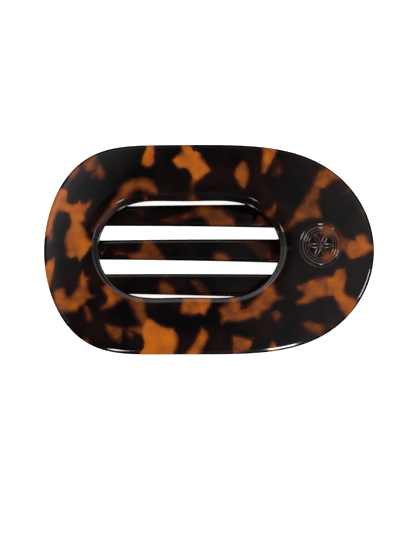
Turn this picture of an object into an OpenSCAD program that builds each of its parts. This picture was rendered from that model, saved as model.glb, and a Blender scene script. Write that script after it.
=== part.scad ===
// Oval hair barrette: a bowed ring with a thumb pad, and a three-fingered sprung jaw beneath it.
//
// The shapes are drawn in the clip's own frame: +X runs from the mouth to the thumb pad, +Y across,
// and z = 0 is the crest of the front plate. in_place() then lays the finished clip on its jaw, with
// the origin at the middle of its footprint.

/* [Front plate] */
// Length of the clip, mouth to thumb pad
length = 90; // [60:1:120]
// Width of the clip
width = 57; // [40:0.5:76]
// Thickness of the front plate
plate_t = 3; // [2.4:0.1:3.2]
// Radius that the front plate is bowed to along its length
plate_bow_r = 170; // [165:1:175]
// Radius that the plate and the jaw are domed to across their width
dome_r = 200; // [190:5:400]
// Distance from the plate's middle to its widest place, towards the mouth
widest_x = 9.5; // [0:0.5:12]
// How far the outline swells out of an ellipse on its way to each end
plate_swell = 0.52; // [0.4:0.01:0.6]
// How much of that swell the last stretch to each end takes back
plate_tuck = 0.22; // [0.1:0.01:0.3]

/* [Opening] */
// X of the opening's end at the mouth
opening_mouth_x = -30; // [-32:0.5:-24]
// X of the opening's end at the thumb pad
opening_thumb_x = 19.2; // [15:0.1:20]
// Width of the opening
opening_w = 26.4; // [22:0.1:28]
// Swell and tuck of the opening's outline, as for the plate's
opening_swell = 0.65; // [0.4:0.01:0.7]
opening_tuck = 0.37; // [0.2:0.01:0.4]

/* [Emblem] */
// X of the middle of the emblem's recess
emblem_x = 30.3; // [28:0.1:34]
// Y of the middle of the emblem's recess
emblem_y = 1; // [-3:0.1:3]
// Radius of the emblem's recess
emblem_r = 5.8; // [4:0.1:7]
// Depth of the emblem's recess
emblem_depth = 0.5; // [0.3:0.1:0.8]

/* [Jaw] */
// X of the finger tips
finger_tip_x = -37; // [-37:0.5:-33]
// X of the slots' closed ends
slot_end_x = 19.4; // [15:0.1:20]
// Width of a finger at its tip
finger_tip_w = 5.1; // [4:0.1:5.2]
// Width of a finger at its root
finger_root_w = 6.4; // [5.6:0.1:6.6]
// Distance between finger middles at their tips
tip_pitch = 9.2; // [9:0.1:9.4]
// Distance between finger middles at their roots
root_pitch = 9.65; // [9.4:0.05:9.8]
// Radius of the thumb tab
tab_r = 17; // [14:0.5:17]
// X of the middle of the thumb tab
tab_x = 25; // [23:0.5:25]
// Thickness of the jaw
jaw_t = 3; // [2.9:0.1:3.2]
// Radius that the jaw is bowed to along its length
jaw_bow_r = 200; // [200:1:210]
// X of the crest of the jaw
jaw_crest_x = -18; // [-18:0.5:-17]
// Gap between the closed finger tips and the front plate
tip_gap = 0.07; // [0.05:0.01:0.15]

/* [Hinge] */
// X of the hinge axis
hinge_x = 24.5; // [24:0.1:25]
// Radius of the hinge pin
pin_r = 1; // [0.9:0.05:1.1]
// Running clearance of the jaw's bores round the pin, on the radius
pin_clearance = 0.05; // [0.03:0.01:0.08]
// Radius of the hinge lugs
lug_r = 2.6; // [2.4:0.05:2.65]
// Thickness of each hinge lug
lug_t = 2.4; // [1.8:0.1:2.6]
// Gap beside each lug, to the next lug or to the spring
lug_gap = 0.3; // [0.2:0.05:0.4]
// Length of the pin's end that stands out of the outer lug
pin_proud = 0.2; // [0:0.05:0.4]

/* [Spring] */
// Diameter of the spring wire
wire_d = 0.8; // [0.6:0.05:0.8]
// Mean radius of the spring's coil
coil_r = 1.9; // [1.8:0.05:1.95]
// Distance from the middle of the coil's first wire to that of its last one
coil_w = 6; // [5.9:0.1:6.2]
// Whole turns in the coil, before the half turn that parts the legs
coil_turns = 6; // [3:1:6]
// Length of each spring leg along X
leg_l = 8; // [6:0.5:9]
// Gap between the end of a spring leg and the plate or jaw it bears on
leg_gap = 0.05; // [0.03:0.01:0.08]

/* [Hidden] */

$fn = 64;
// Facets of the large bowed surfaces
bow_fn = 360;
// Sides of the spring wire, and its rings in one turn
wire_sides = 8;
rings_per_turn = 18;
// Angle between neighbouring points of an outline
outline_step = 4;
// Height that an outline is extruded through, above and below the crest
reach = 30;

// Height at x and y of a surface of the plate or jaw: its two radii, and the x and z of its crest
function sheet_z(x, y, bow_r, dome, crest_x, crest_z) =
    crest_z - bow_r
    + sqrt(pow(bow_r - dome + sqrt(dome * dome - y * y), 2) - pow(x - crest_x, 2));
// Heights of the faces of the plate and of the jaw
function plate_top(x, y = 0) = sheet_z(x, y, plate_bow_r, dome_r, 0, 0);
function plate_under(x, y = 0) =
    sheet_z(x, y, plate_bow_r - plate_t, dome_r - plate_t, 0, -plate_t);
jaw_crest_z =
    plate_under(finger_tip_x) - tip_gap - sheet_z(finger_tip_x, 0, jaw_bow_r, dome_r, jaw_crest_x, 0);
function jaw_top(x, y = 0) = sheet_z(x, y, jaw_bow_r, dome_r, jaw_crest_x, jaw_crest_z);
function jaw_under(x, y = 0) =
    sheet_z(x, y, jaw_bow_r - jaw_t, dome_r - jaw_t, jaw_crest_x, jaw_crest_z - jaw_t);

// The hinge axis lies midway between the plate and the jaw
hinge_z = (plate_under(hinge_x) + jaw_top(hinge_x)) / 2;
inner_lug_y = coil_w / 2 + wire_d / 2 + lug_gap;
outer_lug_y = inner_lug_y + lug_t + lug_gap;
pin_l = 2 * (outer_lug_y + lug_t + pin_proud);

// The clip rests on the tips of the outer fingers and on the end of the tab
tab_end_x = tab_x + tab_r;
tip_under = jaw_under(finger_tip_x, tip_pitch);
lay_angle = atan2(tip_under - jaw_under(tab_end_x), tab_end_x - finger_tip_x);
rest_z = finger_tip_x * sin(lay_angle) + tip_under * cos(lay_angle);
mouth_end = -length / 2 * cos(lay_angle) - plate_top(length / 2) * sin(lay_angle);
thumb_end = length / 2 * cos(lay_angle) - plate_under(length / 2) * sin(lay_angle);

// Turns what is drawn in the clip's frame to lie on its jaw, middle of the footprint at the origin
module in_place()
    translate([-(mouth_end + thumb_end) / 2, 0, -rest_z])
        rotate([0, -lay_angle, 0])
            children();

// Closed outline of an oval: the x of its two ends and of its widest place, its half width, and how
// far it swells out of an ellipse and tucks in again on the way to each end
module oval(low_x, widest, high_x, half_w, swell, tuck)
    polygon([for (a = [0 : outline_step : 360 - outline_step])
        let (c = cos(a))
        [widest + c * (c > 0 ? high_x - widest : widest - low_x),
         half_w * sin(a) * (1 + swell * pow(c, 2) - tuck * pow(c, 4))]]);

// Sheet of one thickness, bowed along the clip and domed across it, wide enough for any outline here
module bowed_sheet(r, t, crest_x, crest_z)
    translate([crest_x, 0, crest_z - r])
        rotate([90, 0, 0])
            rotate_extrude($fn = bow_fn)
                intersection() {
                    translate([r - dome_r, 0])
                        difference() {
                            circle(r = dome_r, $fn = bow_fn);
                            circle(r = dome_r - t, $fn = bow_fn);
                        }
                    translate([r / 2, -width])
                        square([r, 2 * width]);
                }

// Straight walls through the full height of the clip, round a flat outline
module through()
    translate([0, 0, -reach])
        linear_extrude(height = reach + 5)
            children();

// Lug round the hinge axis with its web, on both sides of the clip: y of its inner face, and z of
// the web's end inside the sheet that carries it
module lugs(y, web_z)
    for (side = [-1, 1])
        translate([hinge_x, side * (y + lug_t / 2), hinge_z]) {
            rotate([90, 0, 0])
                cylinder(r = lug_r, h = lug_t, center = true);
            translate([0, 0, (web_z - hinge_z) / 2])
                cube([2 * lug_r, lug_t, abs(web_z - hinge_z)], center = true);
        }

// Straight round bar on the hinge axis
module on_hinge_axis(r, l)
    translate([hinge_x, 0, hinge_z])
        rotate([90, 0, 0])
            cylinder(r = r, h = l, center = true);

module plate_outline()
    difference() {
        oval(-length / 2, -widest_x, length / 2, width / 2, plate_swell, plate_tuck);
        oval(opening_mouth_x, (opening_mouth_x + opening_thumb_x) / 2 - 1, opening_thumb_x,
             opening_w / 2, opening_swell, opening_tuck);
    }

// Round recess with a flat floor, square to the plate where it stands
module emblem_recess()
    translate([0, emblem_y, -plate_bow_r])
        rotate([0, asin(emblem_x / plate_bow_r), 0])
            translate([0, 0, plate_bow_r - emblem_depth])
                cylinder(r = emblem_r, h = 5);

module front_plate()
    color([0.16, 0.07, 0.05])
        in_place()
            difference() {
                union() {
                    intersection() {
                        through()
                            plate_outline();
                        bowed_sheet(plate_bow_r, plate_t, 0, 0);
                    }
                    lugs(outer_lug_y, plate_under(hinge_x) + plate_t / 3);
                }
                on_hinge_axis(pin_r, width);
                emblem_recess();
            }

// One finger, from its round tip to its root in the tab: -1, 0 or 1 across the clip
module finger(i) {
    tip_r = finger_tip_w / 2;
    tip_mid = [finger_tip_x + tip_r, i * tip_pitch];
    root_mid = [slot_end_x + 1, i * root_pitch];
    polygon([
        tip_mid - [0, tip_r],
        root_mid - [0, finger_root_w / 2],
        root_mid + [0, finger_root_w / 2],
        tip_mid + [0, tip_r]
    ]);
    translate(tip_mid)
        circle(r = tip_r);
}

module jaw_outline() {
    for (i = [-1 : 1])
        finger(i);
    // The block that joins the fingers, and the thumb tab
    block_w = 2 * root_pitch + finger_root_w;
    translate([slot_end_x, -block_w / 2])
        square([tab_x - slot_end_x, block_w]);
    difference() {
        translate([tab_x, 0])
            circle(r = tab_r, $fn = 96);
        translate([slot_end_x - 2 * tab_r, -block_w / 2])
            square([2 * tab_r, block_w]);
    }
}

module comb_jaw()
    color([0.2, 0.09, 0.05])
        in_place()
            difference() {
                union() {
                    intersection() {
                        through()
                            jaw_outline();
                        bowed_sheet(jaw_bow_r, jaw_t, jaw_crest_x, jaw_crest_z);
                    }
                    lugs(inner_lug_y, jaw_top(hinge_x) - jaw_t / 2);
                }
                on_hinge_axis(pin_r + pin_clearance, width);
            }

module hinge_pin()
    color([0.75, 0.75, 0.77])
        in_place()
            on_hinge_axis(pin_r, pin_l);

// Path of the spring wire: leg against the plate, coil round the pin, leg against the jaw
leg_end_x = hinge_x + leg_l;
wire_room = wire_d / 2 + leg_gap;
coil_rings = (coil_turns + 0.5) * rings_per_turn;
coil_path = [for (i = [0 : coil_rings])
    let (angle = 90 + 360 * i / rings_per_turn)
    [hinge_x + coil_r * cos(angle), coil_w * (0.5 - i / coil_rings), hinge_z + coil_r * sin(angle)]];
spring_path = concat(
    [[leg_end_x, coil_w / 2, plate_under(leg_end_x) - wire_room]],
    coil_path,
    [[leg_end_x, -coil_w / 2, jaw_top(leg_end_x) + wire_room]]
);

// Points of one ring of the wire, square to the path at its i-th point
function wire_ring(path, i) =
    let (
        ahead = path[min(i + 1, len(path) - 1)] - path[max(i - 1, 0)],
        out = cross(ahead, [0, 1, 0]) / norm(cross(ahead, [0, 1, 0])),
        side = cross(out, ahead) / norm(cross(out, ahead))
    )
    [for (k = [0 : wire_sides - 1])
        let (a = 360 * k / wire_sides)
        path[i] + wire_d / 2 * (out * cos(a) + side * sin(a))];

module torsion_spring() {
    rings = len(spring_path);
    points = [for (i = [0 : rings - 1]) each wire_ring(spring_path, i)];
    walls = [for (i = [0 : rings - 2], k = [0 : wire_sides - 1])
        let (n = (k + 1) % wire_sides, low = i * wire_sides, high = low + wire_sides)
        [low + k, low + n, high + n, high + k]];
    first_cap = [for (k = [wire_sides - 1 : -1 : 0]) k];
    last_cap = [for (k = [0 : wire_sides - 1]) (rings - 1) * wire_sides + k];
    color([0.78, 0.79, 0.8])
        in_place()
            polyhedron(points, concat(walls, [first_cap, last_cap]));
}

comb_jaw();
front_plate();
hinge_pin();
torsion_spring();
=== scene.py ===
"""Looks of the oval tortoiseshell barrette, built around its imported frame.

Shapes are worked out in millimetres in the clip's own frame, as in the CAD: +X from the mouth to the
thumb pad, +Y across, z = 0 at the crest of the front plate. place() lays them down in the row frame.
"""
from math import asin, atan2, cos, pi, radians, sin, tan

import bmesh
import bpy
import numpy as np
from mathutils import Matrix, Vector
from mathutils.geometry import delaunay_2d_cdt


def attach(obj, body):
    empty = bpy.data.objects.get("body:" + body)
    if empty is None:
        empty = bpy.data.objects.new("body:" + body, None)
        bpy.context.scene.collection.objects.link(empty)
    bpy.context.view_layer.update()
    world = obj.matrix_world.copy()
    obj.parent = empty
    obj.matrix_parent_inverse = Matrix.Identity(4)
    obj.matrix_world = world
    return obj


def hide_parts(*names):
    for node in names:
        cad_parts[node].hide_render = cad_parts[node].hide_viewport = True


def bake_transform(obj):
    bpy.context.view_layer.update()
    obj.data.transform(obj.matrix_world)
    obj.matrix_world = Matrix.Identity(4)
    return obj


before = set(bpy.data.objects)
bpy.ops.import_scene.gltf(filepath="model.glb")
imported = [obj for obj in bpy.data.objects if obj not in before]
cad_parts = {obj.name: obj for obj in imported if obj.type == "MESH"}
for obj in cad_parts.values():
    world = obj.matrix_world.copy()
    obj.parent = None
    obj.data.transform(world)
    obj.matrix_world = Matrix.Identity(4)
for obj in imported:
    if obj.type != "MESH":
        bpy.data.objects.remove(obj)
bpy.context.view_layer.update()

MM = 0.001

# Front plate, as in the CAD
LENGTH, WIDTH, PLATE_T, PLATE_BOW_R, DOME_R = 90.0, 57.0, 3.0, 170.0, 200.0
WIDEST_X, PLATE_SWELL, PLATE_TUCK = -9.5, 0.52, 0.22
OPENING_X, OPENING_WIDEST_X, OPENING_W = (-30.0, 19.2), -6.4, 26.4
OPENING_SWELL, OPENING_TUCK = 0.65, 0.37
# Round recess in the thumb pad, which holds the emblem
EMBLEM_X, EMBLEM_Y, EMBLEM_R, EMBLEM_DEPTH = 30.3, 1.0, 5.8, 0.5
# Jaw, as in the CAD
TIP_X, SLOT_END_X, TIP_W, ROOT_W, TIP_PITCH, ROOT_PITCH = -37.0, 19.4, 5.1, 6.4, 9.2, 9.65
TAB_R, TAB_X, JAW_T, JAW_BOW_R, JAW_CREST_X, TIP_GAP = 17.0, 25.0, 3.0, 200.0, -18.0, 0.07
# Hinge and spring
HINGE_X, PIN_R, LUG_R, LUG_T, LUG_GAP, PIN_PROUD = 24.5, 1.0, 2.6, 2.4, 0.3, 0.2
WIRE_D, COIL_R, COIL_W, COIL_TURNS, LEG_L, LEG_GAP = 0.8, 1.9, 6.0, 6.5, 8.0, 0.05
# How far the lugs reach from the pin to inside their sheet, and the play round the pin in each
PLATE_LUG_REACH, JAW_LUG_REACH, PLATE_BORE_PLAY, JAW_BORE_PLAY = 3.9, 4.4, 0.01, 0.05
# How far the jaw has slid along its pin, within the gaps beside its lugs
JAW_SLIDE = 0.22
# The camera's distance and its lean in degrees, in whose view the amber patches are drawn, and the
# height that keeps its size in that view
VIEW_DISTANCE, VIEW_LEAN, SEEN_Z = 600.0, 4.8, -5.5
# How far from a patch its tone still counts, how far inside it the tone still grows, in mm, and how
# fast the tone fades
TONE_REACH, TONE_DEPTH, TONE_FADE = 6.0, 1.5, 2.5


# ---------------------------------------------------------------- places in the clip

def sheet_z(x, y, bow_r, dome_r, crest_x, crest_z):
    """Height at x and y of a surface bowed along the clip and domed across it."""
    across = bow_r - dome_r + np.sqrt(dome_r ** 2 - np.square(y))
    return crest_z - bow_r + np.sqrt(across ** 2 - (x - crest_x) ** 2)


def plate_top(x, y=0.0):
    return sheet_z(x, y, PLATE_BOW_R, DOME_R, 0.0, 0.0)


def plate_under(x, y=0.0):
    return sheet_z(x, y, PLATE_BOW_R - PLATE_T, DOME_R - PLATE_T, 0.0, -PLATE_T)


JAW_CREST_Z = plate_under(TIP_X) - TIP_GAP - sheet_z(TIP_X, 0.0, JAW_BOW_R, DOME_R, JAW_CREST_X, 0.0)


def jaw_top(x, y=0.0):
    return sheet_z(x, y, JAW_BOW_R, DOME_R, JAW_CREST_X, JAW_CREST_Z)


def jaw_under(x, y=0.0):
    return sheet_z(x, y, JAW_BOW_R - JAW_T, DOME_R - JAW_T, JAW_CREST_X, JAW_CREST_Z - JAW_T)


HINGE_Z = (plate_under(HINGE_X) + jaw_top(HINGE_X)) / 2
INNER_LUG_Y = COIL_W / 2 + WIRE_D / 2 + LUG_GAP
OUTER_LUG_Y = INNER_LUG_Y + LUG_T + LUG_GAP
TAB_END_X = TAB_X + TAB_R
TIP_UNDER = jaw_under(TIP_X, TIP_PITCH)
LAY = atan2(TIP_UNDER - jaw_under(TAB_END_X), TAB_END_X - TIP_X)
REST_Z = TIP_X * sin(LAY) + TIP_UNDER * cos(LAY)
MOUTH_END = -LENGTH / 2 * cos(LAY) - plate_top(LENGTH / 2) * sin(LAY)
THUMB_END = LENGTH / 2 * cos(LAY) - plate_under(LENGTH / 2) * sin(LAY)


def place(points):
    """Points in the clip's frame, in mm, as points in the row frame, in metres."""
    p = np.asarray(points, float).reshape(-1, 3)
    x = p[:, 0] * cos(LAY) - p[:, 2] * sin(LAY) - (MOUTH_END + THUMB_END) / 2
    z = p[:, 0] * sin(LAY) + p[:, 2] * cos(LAY) - REST_Z
    return np.column_stack([x, p[:, 1], z]) * MM


def turn(direction):
    """A direction in the clip's frame as one in the row frame."""
    x, y, z = direction
    return Vector((x * cos(LAY) - z * sin(LAY), y, x * sin(LAY) + z * cos(LAY)))


# ---------------------------------------------------------------- meshes

def full_turn(count):
    """Angles of a number of points spaced evenly all the way round."""
    return np.arange(count) * 2 * pi / count


def mesh_object(name, points, faces, body=None):
    """A smooth-shaded object from points in the clip's frame, riding on a body."""
    mesh = bpy.data.meshes.new(name)
    mesh.from_pydata([tuple(p) for p in place(points)], [], [tuple(map(int, f)) for f in faces])
    tidy = bmesh.new()
    tidy.from_mesh(mesh)
    bmesh.ops.recalc_face_normals(tidy, faces=tidy.faces)
    tidy.to_mesh(mesh)
    tidy.free()
    for polygon in mesh.polygons:
        polygon.use_smooth = True
    thing = bpy.data.objects.new(name, mesh)
    bpy.context.scene.collection.objects.link(thing)
    if body:
        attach(thing, body)
    return thing


class Build:
    """Points and faces gathered for one mesh."""

    def __init__(self):
        self.points, self.faces = [], []

    def add(self, points):
        """Adds points and gives their numbers."""
        first = len(self.points)
        self.points.extend([tuple(p) for p in points])
        return np.arange(first, first + len(points))

    def band(self, low, high):
        """Quads between two closed rows of point numbers of the same length."""
        for i in range(len(low)):
            j = (i + 1) % len(low)
            self.faces.append((low[i], low[j], high[j], high[i]))

    def fan(self, row, centre):
        """Triangles from a closed row to one point."""
        for i in range(len(row)):
            self.faces.append((row[i], row[(i + 1) % len(row)], centre))

    def tube(self, rings):
        """Bands from each ring to the next, and a flat cap on the first and last."""
        for low, high in zip(rings, rings[1:]):
            self.band(low, high)
        self.faces.append(tuple(rings[0]))
        self.faces.append(tuple(rings[-1][::-1]))

    def loop(self, rings):
        """Bands from each ring to the next, and from the last back to the first."""
        for low, high in zip(rings, rings[1:] + rings[:1]):
            self.band(low, high)


def edge_profile(slopes, half_t):
    """A moulded edge, from pairs of a distance in from the outline in mm and the slope there in
    degrees, out to where the face is flat. Gives the distances, and the heights as shares of the half
    thickness. Below the first pair the edge is upright, down to the middle of the thickness."""
    distance, slope = np.array(slopes, float).T
    fall = np.tan(np.radians(slope))
    steps = np.diff(distance) * (fall[1:] + fall[:-1]) / 2
    height = half_t - np.append(np.cumsum(steps[::-1])[::-1], 0.0)
    return np.append(0.0, distance), np.append(0.0, height / half_t)


def inward(outline, sign=1.0):
    """Unit normals of a closed outline that runs anticlockwise, pointing inwards, or outwards with
    sign -1."""
    ahead = np.roll(outline, -1, 0) - outline
    ahead /= np.linalg.norm(ahead, axis=1, keepdims=True)
    behind = np.roll(ahead, 1, 0)
    along = ahead + behind
    along /= np.linalg.norm(along, axis=1, keepdims=True)
    mitre = np.clip((along * ahead).sum(1), 0.5, 1)[:, None]
    return sign * np.column_stack([-along[:, 1], along[:, 0]]) / mitre


# ---------------------------------------------------------------- amber patches
# Each patch is a tone, from 0, deep brown, to 1, bright amber, and its corners in mm.

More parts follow.
